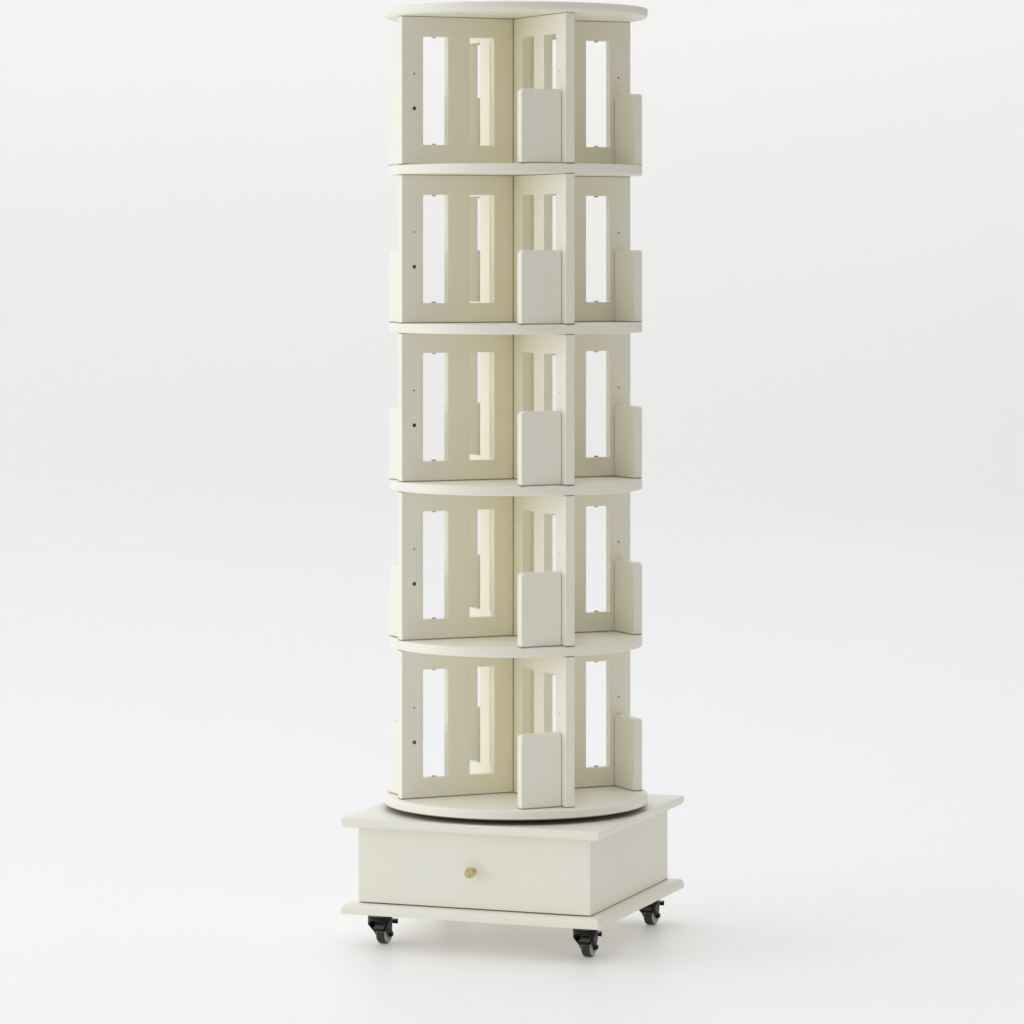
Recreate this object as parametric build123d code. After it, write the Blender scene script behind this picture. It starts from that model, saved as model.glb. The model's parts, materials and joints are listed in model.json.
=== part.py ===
"""Floor-standing revolving bookcase: five round tiers turning on a square base with a drawer and castors.

Frame: millimetres, +Z up, origin on the floor under the turning axis, the drawer front faces -Y.
Every function returns one sub-part at its place; each is written to parts/NODE.step.
"""
from build123d import *
from math import cos, radians, sin
import os

# ---------------------------------------------------------------- boards, common to the whole piece
BOARD_T = 18.0            # thickness of every painted board
EDGE_EASE = 1.2           # rounding of a board's sanded edges
SEAT_GAP = 0.1            # radial gap of a dowel or screw in its hole
HEAD_DOME = 0.7           # share of a round head's height that is rounded over

# ---------------------------------------------------------------- base
CASTOR_H = 65.0           # floor to the underside of the bottom plate
BASE_PLATE_W = 500.0      # side of the square top and bottom plates
BASE_PLATE_ROUND = 10.0   # rounding of the plates' edges that face each other
BASE_PLATE_CORNER_R = 2.5 # rounding of the plates' upright corners
BOX_INSET = 25.0          # plates' edge to the square drawer box
BOX_H = 139.0             # height of the box between the plates
BASE_DOWEL_R = 4.0        # dowels that hold the top plate
BASE_DOWEL_L = 30.0       # length of a dowel, most of it in the upright board
BASE_DOWEL_UP = 11.0      # depth of a dowel in the plate
BASE_DOWEL_INSET = 57.0   # inner corner of the box to the dowels and screws of its boards
BASE_SCREW_R = 2.5        # screws that hold the bottom plate
BASE_SCREW_L = 52.0       # length of a box screw over all
BASE_SCREW_HEAD_R = 5.0   # countersunk head
BASE_SCREW_HEAD_H = 4.0

# ---------------------------------------------------------------- turntable bearing
TURNTABLE_H = 10.0        # gap between base and rotor that the bearing fills
RING_IN_R = 80.0          # inner radius of both rings
RING_OUT_R = 120.0        # outer radius of both rings
RING_PARTING = 0.8        # free gap between the rings
BALL_R = 3.0
BALL_RACE_R = 100.0       # radius of the ball circle
BALL_COUNT = 28
BALL_PLAY = 0.1           # gap between ball and groove
RING_SCREW_COUNT = 4
RING_SCREW_R = 2.0
RING_SCREW_L = 15.0
RING_SCREW_HEAD_R = 3.8
RING_SCREW_HEAD_H = 2.4
RING_SCREW_EDGE = 8.0     # distance of the screws from the ring's free edge

# ---------------------------------------------------------------- rotor discs
TIERS = 5
TIER_H = 274.0            # clear height of a tier
DISC_D = 492.0            # top and bottom discs
SHELF_SETBACK = 10.0      # discs' edge to the edge of the shelves between the tiers
TOP_DISC_ROUND = 9.0      # rounding of the top disc's lower edge
BOTTOM_DISC_ROUND = 5.0   # rounding of the bottom disc's upper edge
SHELF_ROUND = 2.5         # rounding of both edges of a shelf
REST_ANGLE = 45.0         # the dividers stand on the base's diagonals at rest

# ---------------------------------------------------------------- dividers
DIVIDER_SETBACK = 1.0     # shelves' edge to a divider's outer end
LAP_PLAY = 0.2            # play of the halved joint on each side
WINDOW_W = 50.0
WINDOW_H = 200.0
OUTER_STILE = 43.0        # outer end to the first window
MID_STILE = 44.0          # between the two windows of an arm
WINDOW_CORNER_R = 1.5
BOLT_R = 3.0              # bolts from an outer window through the rail into the disc
BOLT_IN_DISC = 8.0        # depth of a bolt in a disc
BOLT_HEAD_R = 4.4
BOLT_HEAD_H = 2.8
BOLT_HOLE_GAP = 0.2       # radial gap of a bolt in the rail
BOLT_END_GAP = 0.5        # free depth past a bolt's end

# ---------------------------------------------------------------- book stops
STOP_W = 81.0             # from the divider's face to the stop's free edge
STOP_H = 135.0
STOP_CORNER_R = 8.0       # rounded upper corners
STOP_INSET = 16.0         # divider's outer end to the stop's outer face
STOP_SCREW_Z = 104.0      # above the shelf
STOP_SCREW_R = 2.0
STOP_SCREW_L = 48.0
STOP_SCREW_HEAD_R = 3.6
STOP_SCREW_HEAD_H = 2.4
STOP_DOWEL_Z = 34.0       # above the shelf
STOP_DOWEL_R = 4.0
STOP_DOWEL_L = 30.0
STOP_DOWEL_IN = 10.0      # depth of the dowel in the divider
SPARE_HOLE_Z = 168.0      # upper hole of each outer stile, above the shelf
SPARE_HOLE_R = 2.0

# ---------------------------------------------------------------- drawer
FRONT_GAP = 2.0           # gap round the overlay front
RUNNER_SPACE = 12.7       # between the box side and the drawer side
DRAWER_BOARD_T = 12.0
DRAWER_BOX_H = 100.0
DRAWER_BACK_ROOM = 29.3   # drawer box to the back board
DRAWER_LIFT = 12.0        # bottom plate to the drawer box
DRAWER_BOTTOM_T = 6.0
DRAWER_BOTTOM_UP = 8.0    # lower edge of the drawer box to the bottom panel
GROOVE_D = 6.0            # depth of the bottom panel in its grooves
GROOVE_PLAY = 0.2
DRAWER_EASE = 0.8
RUNNER_SETBACK = 6.0      # front edge of the box's sides to the runners
RUNNER_BACK_ROOM = 38.0   # runners to the back board
RUNNER_H = 45.0
RUNNER_D = 10.0           # depth of the cabinet member's channel
RUNNER_T = 1.5
RUNNER_PLAY = 0.3         # gap between the sliding members
RUNNER_SCREW_COUNT = 3
RUNNER_SCREW_R = 1.8
RUNNER_SCREW_BITE = 0.7   # share of a board's thickness that a runner screw enters
RUNNER_SCREW_HEAD_R = 3.4
RUNNER_SCREW_HEAD_H = 1.8
RUNNER_SCREW_INSET = 35.0 # runner's end to its first screw
DRAWER_SCREW_R = 2.0
DRAWER_SCREW_L = 40.0
DRAWER_SCREW_HEAD_R = 3.6
DRAWER_SCREW_HEAD_H = 2.4
DRAWER_SCREW_SPREAD = 30.0

# ---------------------------------------------------------------- knob
KNOB_R = 9.5              # brass mushroom knob
KNOB_L = 21.0             # drawer front to the knob's face
KNOB_FOOT_R = 6.0
KNOB_STEM_R = 4.2
KNOB_FOOT_L = 2.5
KNOB_COVE_L = 1.0         # length over which the foot narrows to the stem
KNOB_HEAD_L = 8.0
KNOB_FLARE_L = 2.7        # length over which the neck widens to the head
KNOB_CROWN_L = 1.0        # rise of the domed face
KNOB_SCREW_R = 2.0
KNOB_SCREW_IN = 10.0      # depth of the screw in the knob
KNOB_SCREW_HEAD_R = 4.0
KNOB_SCREW_HEAD_H = 2.5

# ---------------------------------------------------------------- castors
CASTOR_INSET_X = 50.0     # plate's left or right edge to a castor's swivel axis
CASTOR_INSET_Y = 70.0     # plate's front or back edge to a castor's swivel axis
# rest direction of each castor's trail, degrees from +X
CASTOR_TRAIL_ANGLES = {"front_left": 85.0, "front_right": 87.0, "rear_right": 84.0, "rear_left": 88.0}
CASTOR_PLATE_W = 42.0
CASTOR_PLATE_T = 2.5
CASTOR_PLATE_CORNER_R = 5.0
RACE_R = 14.0             # swivel race under the plate
RACE_H = 7.5
RACE_ROUND = 2.5
SWIVEL_PLAY = 0.3
KINGPIN_R = 4.0
KINGPIN_PLAY = 0.08
KINGPIN_HEAD_R = 7.0
KINGPIN_HEAD_H = 2.2
TRAIL = 17.0              # swivel axis to the wheel's axle
WHEEL_R = 18.5
WHEEL_W = 20.0
WHEEL_ROUND = 4.5         # rounded shoulders of the tread
WHEEL_DISH_R = 11.0       # recess in each side of the wheel
WHEEL_DISH_D = 1.5
WHEEL_HUB_R = 6.5
AXLE_R = 3.0
AXLE_PLAY = 0.05
AXLE_NUT_R = 4.2
AXLE_NUT_H = 3.6
FORK_SIDE_PLAY = 1.0      # wheel's side to the fork's arm
FORK_T = 2.4              # sheet thickness of the fork
FORK_CAP_R = 22.5         # round cap at the top of the fork
FORK_CAP_H = 5.0          # depth of the cap's wall in front and behind
FORK_WAIST_H = 8.5        # top of the fork to where its arms begin to draw in
FORK_DRAW_H = 30.0        # height over which the arms draw in to the wheel's sides
FORK_FOOT_R = 6.0         # round end of the arms at the axle
BRAKE_GAP = 3.0           # gap between tyre and brake lever when the lever is up
BRAKE_T = 2.4             # sheet thickness of the brake lever
BRAKE_ROLL_ANGLE = 152.0  # direction from the axle to the lever's rolled edge, degrees from the trail
BRAKE_ROLL_R = 3.9
BRAKE_PIN_ANGLE = 125.0   # direction from the axle to the lever's pin
BRAKE_PIN_UP = 2.5        # middle of the lever's sheet to its pin
BRAKE_PIN_R = 2.0
BRAKE_PIN_PLAY = 0.05
BRAKE_PIN_SUNK = 1.0      # depth of the pin's ends in the fork
BRAKE_BOSS_R = 3.6
BRAKE_REACH = 28.0        # axle to the end of the pedal
BRAKE_TOE_L = 15.0        # length of the pedal's wide end
BRAKE_TOE_W = 28.0
BRAKE_LIP_H = 9.0         # height of the pedal's turned-down end
BRAKE_SIDE_PLAY = 0.5     # lever's side to the inside of the fork's arm
CASTOR_SCREW_PITCH = 31.0
CASTOR_SCREW_R = 1.9
CASTOR_SCREW_L = 14.0
CASTOR_SCREW_HEAD_R = 3.4
CASTOR_SCREW_HEAD_H = 2.0

# ---------------------------------------------------------------- levels and lines that follow
Z_BOTTOM_PLATE = CASTOR_H
Z_BOX = Z_BOTTOM_PLATE + BOARD_T
Z_TOP_PLATE = Z_BOX + BOX_H
Z_BASE_TOP = Z_TOP_PLATE + BOARD_T
Z_ROTOR = Z_BASE_TOP + TURNTABLE_H
BOX_HALF = BASE_PLATE_W / 2 - BOX_INSET
BOX_IN = BOX_HALF - BOARD_T
Y_FRONT_BACK = -BOX_HALF + BOARD_T                     # back face of the drawer front
BASE_DOWEL_SPREAD = BOX_IN - BASE_DOWEL_INSET          # dowels from the middle of a board
DRAWER_HALF = BOX_IN - RUNNER_SPACE
Y_RUNNER = Y_FRONT_BACK + RUNNER_SETBACK               # front end of the runners
RUNNER_L = BOX_IN - RUNNER_BACK_ROOM - Y_RUNNER
Z_DRAWER = Z_BOX + DRAWER_LIFT
Z_KNOB = Z_BOX + BOX_H / 2
Z_RUNNER = Z_DRAWER + DRAWER_BOX_H / 2
SHELF_R = DISC_D / 2 - SHELF_SETBACK
DIVIDER_END_R = SHELF_R - DIVIDER_SETBACK              # turning axis to a divider's outer end
BOLT_RADIUS = DIVIDER_END_R - OUTER_STILE - WINDOW_W / 2
RAIL_H = (TIER_H - WINDOW_H) / 2
STOP_MID_R = DIVIDER_END_R - STOP_INSET - BOARD_T / 2
BOLT_L = RAIL_H + BOLT_IN_DISC
CASTOR_X = BASE_PLATE_W / 2 - CASTOR_INSET_X
CASTOR_Y = BASE_PLATE_W / 2 - CASTOR_INSET_Y
Z_CROWN = CASTOR_H - CASTOR_PLATE_T - RACE_H - SWIVEL_PLAY   # top of the fork
FORK_IN = WHEEL_W / 2 + FORK_SIDE_PLAY
FORK_OUT = FORK_IN + FORK_T
Z_FORK_WAIST = Z_CROWN - FORK_WAIST_H
Z_FORK_ARM = Z_FORK_WAIST - FORK_DRAW_H                # top of the straight ends of the fork's arms
BRAKE_ARC_R = WHEEL_R + BRAKE_GAP + BRAKE_T / 2        # axle to the middle of the lever's sheet
BRAKE_PIN_DIST = BRAKE_ARC_R + BRAKE_PIN_UP            # axle to the lever's pin
Z_BRAKE_PIN = WHEEL_R + BRAKE_PIN_DIST * sin(radians(BRAKE_PIN_ANGLE))
FORK_LEAN = (FORK_CAP_R - FORK_OUT) / FORK_DRAW_H      # inward lean of the fork's arms
PIN_OUT = FORK_CAP_R - (Z_FORK_WAIST - Z_BRAKE_PIN) * FORK_LEAN   # arms' outer face at the pin
CASTOR_SIGNS = {"front_left": (-1, -1), "front_right": (1, -1), "rear_right": (1, 1), "rear_left": (-1, 1)}
ARM_ANGLES = [REST_ANGLE + 90 * i for i in range(4)]


def shelf_z(tier):
    """Height of the surface that tier number `tier` (0 at the bottom) stands on."""
    return Z_ROTOR + BOARD_T + tier * (TIER_H + BOARD_T)


# ---------------------------------------------------------------- small helpers
def block(x0, x1, y0, y1, z0, z1):
    """Plain box between two corners."""
    centre = Pos((x0 + x1) / 2, (y0 + y1) / 2, (z0 + z1) / 2)
    return centre * Box(x1 - x0, y1 - y0, z1 - z0)


def eased(shape, ease=EDGE_EASE):
    """The shape with every edge rounded by the same small radius."""
    return fillet(shape.edges(), ease)


def board(x0, x1, y0, y1, z0, z1, ease=EDGE_EASE):
    """A sanded board between two corners."""
    return eased(block(x0, x1, y0, y1, z0, z1), ease)


def rod(radius, length):
    """Cylinder standing on the origin along +Z."""
    return Cylinder(radius, length, align=(Align.CENTER, Align.CENTER, Align.MIN))


def cone_head(head_r, shank_r, height):
    """Countersunk head: wide face on the origin, narrowing along +Z."""
    return Cone(head_r, shank_r, height, align=(Align.CENTER, Align.CENTER, Align.MIN))


def countersunk(shank_r, length, head_r, head_h, gap=0.0):
    """Countersunk screw along +Z with its head's face on the origin; gap widens it into its hole."""
    return rod(shank_r + gap, length + gap) + cone_head(head_r + gap, shank_r + gap, head_h)


def round_head(shank_r, length, head_r, head_h):
    """Screw along +Z whose round head hangs under the origin."""
    dome = fillet(rod(head_r, head_h).edges().group_by(Axis.Z)[0], head_h * HEAD_DOME)
    return Pos(0, 0, -head_h) * dome + rod(shank_r, length)


def along(direction):
    """Rotation that turns +Z onto one of the six axis directions."""
    turns = {"+Z": (0, 0, 0), "-Z": (180, 0, 0), "+Y": (-90, 0, 0), "-Y": (90, 0, 0),
             "+X": (0, 90, 0), "-X": (0, -90, 0)}
    return Rot(*turns[direction])


def group(solids):
    """Separate solids kept together as one sub-part."""
    return Compound(children=list(solids))


def cut(shape, tools):
    """The shape with every tool taken away."""
    for tool in tools:
        shape = shape - tool
    return shape


# ---------------------------------------------------------------- base: places of the fixings
def box_joint_places():
    """Middle lines of the upright boards where dowels and screws sit: (x, y)."""
    side = BOX_HALF - BOARD_T / 2
    places = [(sx * side, sy * BASE_DOWEL_SPREAD) for sx in (-1, 1) for sy in (-1, 1)]
    return places + [(sx * BASE_DOWEL_SPREAD, side) for sx in (-1, 1)]


def base_dowels(gap=0.0):
    """Dowels between the upright boards and the top plate."""
    low = Z_TOP_PLATE + BASE_DOWEL_UP - BASE_DOWEL_L
    dowel = rod(BASE_DOWEL_R + gap, BASE_DOWEL_L + 2 * gap)
    return [Pos(x, y, low - gap) * dowel for x, y in box_joint_places()]


def base_screws(gap=0.0):
    """Screws up through the bottom plate into the upright boards."""
    screw = countersunk(BASE_SCREW_R, BASE_SCREW_L, BASE_SCREW_HEAD_R, BASE_SCREW_HEAD_H, gap)
    return [Pos(x, y, Z_BOTTOM_PLATE) * screw for x, y in box_joint_places()]


def ring_places(radius, turn):
    """Places of the screws on one turntable ring."""
    step = 360 / RING_SCREW_COUNT
    angles = [radians(turn + step * i) for i in range(RING_SCREW_COUNT)]
    return [(radius * cos(a), radius * sin(a)) for a in angles]


def lower_ring_screws(gap=0.0):
    """Screws down through the lower ring into the base."""
    screw = along("-Z") * countersunk(RING_SCREW_R, RING_SCREW_L, RING_SCREW_HEAD_R, RING_SCREW_HEAD_H, gap)
    top = Z_BASE_TOP + (TURNTABLE_H - RING_PARTING) / 2
    return [Pos(x, y, top) * screw for x, y in ring_places(RING_IN_R + RING_SCREW_EDGE, 0)]


def upper_ring_screws(gap=0.0):
    """Screws up through the upper ring into the bottom disc."""
    screw = countersunk(RING_SCREW_R, RING_SCREW_L, RING_SCREW_HEAD_R, RING_SCREW_HEAD_H, gap)
    low = Z_BASE_TOP + (TURNTABLE_H + RING_PARTING) / 2
    return [Pos(x, y, low) * screw for x, y in ring_places(RING_OUT_R - RING_SCREW_EDGE, REST_ANGLE)]


def runner_screws(x_head, length, inward, gap):
    """Screws in a row through each runner; inward ones point to the middle of the drawer."""
    screw = round_head(RUNNER_SCREW_R + gap, length + gap, RUNNER_SCREW_HEAD_R, RUNNER_SCREW_HEAD_H)
    first = Y_RUNNER + RUNNER_SCREW_INSET
    step = (RUNNER_L - 2 * RUNNER_SCREW_INSET) / (RUNNER_SCREW_COUNT - 1)
    screws = []
    for sign in (-1, 1):
        turned = along("-X" if (sign > 0) == inward else "+X") * screw
        places = [Pos(sign * x_head, first + step * i, Z_RUNNER) for i in range(RUNNER_SCREW_COUNT)]
        screws += [place * turned for place in places]
    return screws


def cabinet_runner_screws(gap=0.0):
    """Screws from inside the cabinet runners into the sides of the box."""
    return runner_screws(BOX_IN - RUNNER_T, RUNNER_T + BOARD_T * RUNNER_SCREW_BITE, False, gap)


def drawer_runner_screws(gap=0.0):
    """Screws from inside the drawer runners into the sides of the drawer."""
    return runner_screws(DRAWER_HALF + RUNNER_T, RUNNER_T + DRAWER_BOARD_T * RUNNER_SCREW_BITE, True, gap)


def castor_screws(gap=0.0):
    """Four round-headed screws up through each castor's plate."""
    screws = []
    reach = CASTOR_SCREW_PITCH / 2
    screw = round_head(CASTOR_SCREW_R + gap, CASTOR_SCREW_L + CASTOR_PLATE_T + gap, CASTOR_SCREW_HEAD_R,
                       CASTOR_SCREW_HEAD_H)
    for sx, sy in CASTOR_SIGNS.values():
        for dx in (-reach, reach):
            for dy in (-reach, reach):
                place = Pos(sx * CASTOR_X + dx, sy * CASTOR_Y + dy, CASTOR_H - CASTOR_PLATE_T)
                screws.append(place * screw)
    return screws


# ---------------------------------------------------------------- base: pieces
def base_plate(z_low, rounded_edge_up):
    """Square plate with one pair of edges rounded like a thumb and the others only eased."""
    half = BASE_PLATE_W / 2
    plate = block(-half, half, -half, half, z_low, z_low + BOARD_T)
    plate = fillet(plate.edges().filter_by(Axis.Z), BASE_PLATE_CORNER_R)
    low_rim, high_rim = plate.faces().sort_by(Axis.Z)[0], plate.faces().sort_by(Axis.Z)[-1]
    round_rim, sharp_rim = (high_rim, low_rim) if rounded_edge_up else (low_rim, high_rim)
    plate = fillet(round_rim.edges(), BASE_PLATE_ROUND)
    sharp_z = sharp_rim.center().Z
    level_faces = plate.faces().filter_by(Axis.Z)
    sharp_face = level_faces.sort_by(lambda face: abs(face.center().Z - sharp_z))[0]
    return fillet(sharp_face.edges(), EDGE_EASE)


def base_bottom_plate():
    """Bottom plate, its upper edge rounded."""
    return cut(base_plate(Z_BOTTOM_PLATE, True), base_screws(SEAT_GAP) + castor_screws(SEAT_GAP))


def base_top_plate():
    """Top plate, its lower edge rounded."""
    return cut(base_plate(Z_TOP_PLATE, False), base_dowels(SEAT_GAP) + lower_ring_screws(SEAT_GAP))


def base_side(sign):
    """Left (-1) or right (+1) board of the box, behind the drawer front."""
    x0, x1 = sorted((sign * BOX_IN, sign * BOX_HALF))
    panel = board(x0, x1, Y_FRONT_BACK, BOX_HALF, Z_BOX, Z_TOP_PLATE)
    return cut(panel, base_dowels(SEAT_GAP) + base_screws(SEAT_GAP) + cabinet_runner_screws(SEAT_GAP))


def base_back():
    """Back board between the two sides."""
    panel = board(-BOX_IN, BOX_IN, BOX_IN, BOX_HALF, Z_BOX, Z_TOP_PLATE)
    return cut(panel, base_dowels(SEAT_GAP) + base_screws(SEAT_GAP))


def base_fixings():
    """Screws and dowels of the box, and the screws of the lower ring and the cabinet runners."""
    return group(base_dowels() + base_screws() + lower_ring_screws() + cabinet_runner_screws())


def runner_channel(sign, x_web, x_lip, half_h):
    """C-shaped runner member: a web at x_web with two flanges reaching to x_lip."""
    y0, y1 = Y_RUNNER, Y_RUNNER + RUNNER_L
    web_in = x_web + (RUNNER_T if x_lip > x_web else -RUNNER_T)
    a, b = sorted((sign * x_web, sign * x_lip))
    c, d = sorted((sign * web_in, sign * x_lip))
    outer = block(a, b, y0, y1, Z_RUNNER - half_h, Z_RUNNER + half_h)
    inner = block(c, d, y0, y1, Z_RUNNER - half_h + RUNNER_T, Z_RUNNER + half_h - RUNNER_T)
    return outer - inner


def cabinet_runner(sign):
    """Runner member on the box side, open towards the drawer."""
    channel = runner_channel(sign, BOX_IN, BOX_IN - RUNNER_D, RUNNER_H / 2)
    return cut(channel, cabinet_runner_screws(SEAT_GAP))


def drawer_runner(sign):
    """Runner member on the drawer side, running inside the cabinet member."""
    half = RUNNER_H / 2 - RUNNER_T - RUNNER_PLAY
    channel = runner_channel(sign, DRAWER_HALF, BOX_IN - RUNNER_T - RUNNER_PLAY, half)
    return cut(channel, drawer_runner_screws(SEAT_GAP))


# ---------------------------------------------------------------- turntable bearing
def turntable_ring(z_low, z_high):
    """Flat ring with a ball groove in the face towards the other ring."""
    height = z_high - z_low
    ring = Pos(0, 0, z_low) * (rod(RING_OUT_R, height) - rod(RING_IN_R, height))
    groove = Pos(0, 0, Z_BASE_TOP + TURNTABLE_H / 2) * Torus(BALL_RACE_R, BALL_R + BALL_PLAY)
    return ring - groove


def turntable_lower_ring():
    """Ring screwed to the base."""
    ring = turntable_ring(Z_BASE_TOP, Z_BASE_TOP + (TURNTABLE_H - RING_PARTING) / 2)
    return cut(ring, lower_ring_screws(SEAT_GAP))


def turntable_upper_ring():
    """Ring screwed to the rotor's bottom disc."""
    ring = turntable_ring(Z_BASE_TOP + (TURNTABLE_H + RING_PARTING) / 2, Z_ROTOR)
    return cut(ring, upper_ring_screws(SEAT_GAP))


def turntable_balls():
    """Balls that carry the rotor in the grooves of the two rings."""
    z = Z_BASE_TOP + TURNTABLE_H / 2
    turns = [Rot(0, 0, 360 / BALL_COUNT * i) for i in range(BALL_COUNT)]
    return group([turn * Pos(BALL_RACE_R, 0, z) * Sphere(BALL_R) for turn in turns])


# ---------------------------------------------------------------- rotor
def rail_bolts(tiers_above, tiers_below, gap=0.0):
    """Bolts of the given tiers: up from the windows' upper edges, down from their lower edges."""
    bolts = []
    shank = round_head(BOLT_R + gap, BOLT_L + (BOLT_END_GAP if gap else 0), BOLT_HEAD_R, BOLT_HEAD_H)
    for angle in ARM_ANGLES:
        x, y = BOLT_RADIUS * cos(radians(angle)), BOLT_RADIUS * sin(radians(angle))
        for tier in tiers_below:
            bolts.append(Pos(x, y, shelf_z(tier) + RAIL_H + WINDOW_H) * shank)
        for tier in tiers_above:
            bolts.append(Pos(x, y, shelf_z(tier) + RAIL_H) * along("-Z") * shank)
    return bolts


def disc(z_low, radius, low_round, high_round):
    """Round board with its two edges rounded."""
    plate = Pos(0, 0, z_low) * rod(radius, BOARD_T)
    rims = plate.edges().filter_by(GeomType.CIRCLE).sort_by(Axis.Z)
    plate = fillet(rims[0], low_round)
    rims = plate.edges().filter_by(GeomType.CIRCLE).sort_by(Axis.Z)
    return fillet(rims[-1], high_round)


def bottom_disc():
    """Disc on the turntable."""
    plate = disc(Z_ROTOR, DISC_D / 2, EDGE_EASE, BOTTOM_DISC_ROUND)
    return cut(plate, rail_bolts([0], [], SEAT_GAP) + upper_ring_screws(SEAT_GAP))


def shelf(number):
    """Shelf between tier number - 1 and tier number."""
    plate = disc(shelf_z(number) - BOARD_T, SHELF_R, SHELF_ROUND, SHELF_ROUND)
    return cut(plate, rail_bolts([number], [number - 1], SEAT_GAP))


def top_disc():
    """Disc over the last tier, its lower edge rounded."""
    plate = disc(shelf_z(TIERS) - BOARD_T, DISC_D / 2, TOP_DISC_ROUND, EDGE_EASE)
    return cut(plate, rail_bolts([], [TIERS - 1], SEAT_GAP))


def divider_face(slot_up):
    """Outline of a divider in its own plane: windows cut out, half-height slot from above or below."""
    face = Rectangle(2 * DIVIDER_END_R, TIER_H)
    window = fillet(Rectangle(WINDOW_W, WINDOW_H).vertices(), WINDOW_CORNER_R)
    outer = DIVIDER_END_R - OUTER_STILE - WINDOW_W / 2
    inner = outer - WINDOW_W - MID_STILE
    for x in (-outer, -inner, inner, outer):
        face -= Pos(x, 0) * window
    slot_h = TIER_H / 2
    slot_y = slot_h / 2 if slot_up else -slot_h / 2
    return face - Pos(0, slot_y) * Rectangle(BOARD_T + 2 * LAP_PLAY, slot_h)


def stop_screw(gap=0.0):
    """Screw of a stop on the arm along +X, its head flush with the face away from the stop."""
    screw = countersunk(STOP_SCREW_R, STOP_SCREW_L, STOP_SCREW_HEAD_R, STOP_SCREW_HEAD_H, gap)
    return Pos(STOP_MID_R, BOARD_T / 2, STOP_SCREW_Z) * along("-Y") * screw


def stop_dowel(gap=0.0):
    """Dowel between a stop and the arm along +X."""
    dowel = rod(STOP_DOWEL_R + gap, STOP_DOWEL_L + 2 * gap)
    return Pos(STOP_MID_R, STOP_DOWEL_IN - BOARD_T / 2 + gap, STOP_DOWEL_Z) * along("-Y") * dowel


def divider_template(slot_up):
    """Divider along the X axis, standing on z = 0, without its place in the rotor."""
    slab = Rot(90, 0, 0) * extrude(divider_face(slot_up), BOARD_T / 2, both=True)
    slab = Pos(0, 0, TIER_H / 2) * slab
    rims = [e for f in slab.faces().filter_by(Axis.Y) for e in f.edges()]
    slab = fillet(rims, EDGE_EASE)
    bolt_hole = rod(BOLT_R + BOLT_HOLE_GAP, TIER_H)
    spare = Pos(STOP_MID_R, BOARD_T, SPARE_HOLE_Z) * along("-Y") * rod(SPARE_HOLE_R, 2 * BOARD_T)
    tools = []
    for turn in (Rot(0, 0, 0), Rot(0, 0, 180)):
        tools += [turn * stop_screw(SEAT_GAP), turn * stop_dowel(SEAT_GAP), turn * spare,
                  turn * Pos(BOLT_RADIUS, 0, 0) * bolt_hole]
    return cut(slab, tools)


def stop_template():
    """Book stop of the arm along +X, on its clockwise side, standing on z = 0."""
    y1 = -BOARD_T / 2
    plate = block(STOP_MID_R - BOARD_T / 2, STOP_MID_R + BOARD_T / 2, y1 - STOP_W, y1, 0, STOP_H)
    plate = fillet(plate.edges().filter_by(Axis.X).group_by(Axis.Z)[-1], STOP_CORNER_R)
    plate = eased(plate)
    return cut(plate, [stop_screw(SEAT_GAP), stop_dowel(SEAT_GAP)])


def rotor_bolts():
    """All rail bolts and the upper ring's screws."""
    tiers = range(TIERS)
    return group(rail_bolts(tiers, tiers) + upper_ring_screws())


def on_arm(shape, tier, angle):
    """A template placed on the arm at the given angle of the given tier."""
    return Pos(0, 0, shelf_z(tier)) * Rot(0, 0, angle) * shape


# ---------------------------------------------------------------- drawer
def drawer_front():
    """Overlay front with the knob's hole and the holes of its screws."""
    z0, z1 = Z_BOX + FRONT_GAP, Z_TOP_PLATE - FRONT_GAP
    panel = board(-BOX_HALF, BOX_HALF, -BOX_HALF, Y_FRONT_BACK - RUNNER_PLAY, z0, z1)
    return cut(panel, drawer_screws(SEAT_GAP) + [knob_screw(SEAT_GAP)])


def drawer_y_range():
    """Front and back of the drawer box."""
    return Y_FRONT_BACK - RUNNER_PLAY, BOX_IN - DRAWER_BACK_ROOM


def drawer_bottom(gap=0.0):
    """Bottom panel in the grooves of the sides and the back."""
    y0, y1 = drawer_y_range()
    half = DRAWER_HALF - DRAWER_BOARD_T + GROOVE_D
    z0 = Z_DRAWER + DRAWER_BOTTOM_UP
    back = y1 - DRAWER_BOARD_T + GROOVE_D
    return block(-half - gap, half + gap, y0 - gap, back + gap, z0 - gap, z0 + DRAWER_BOTTOM_T + gap)


def drawer_side(sign):
    """Side of the drawer box."""
    y0, y1 = drawer_y_range()
    x0, x1 = sorted((sign * (DRAWER_HALF - DRAWER_BOARD_T), sign * DRAWER_HALF))
    panel = board(x0, x1, y0, y1, Z_DRAWER, Z_DRAWER + DRAWER_BOX_H, DRAWER_EASE)
    holes = drawer_screws(SEAT_GAP) + drawer_runner_screws(SEAT_GAP)
    return cut(panel, holes + [drawer_bottom(GROOVE_PLAY)])


def drawer_back():
    """Back of the drawer box between its sides."""
    y1 = drawer_y_range()[1]
    half = DRAWER_HALF - DRAWER_BOARD_T
    panel = board(-half, half, y1 - DRAWER_BOARD_T, y1, Z_DRAWER, Z_DRAWER + DRAWER_BOX_H, DRAWER_EASE)
    return cut(panel, drawer_screws(SEAT_GAP) + [drawer_bottom(GROOVE_PLAY)])


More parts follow.
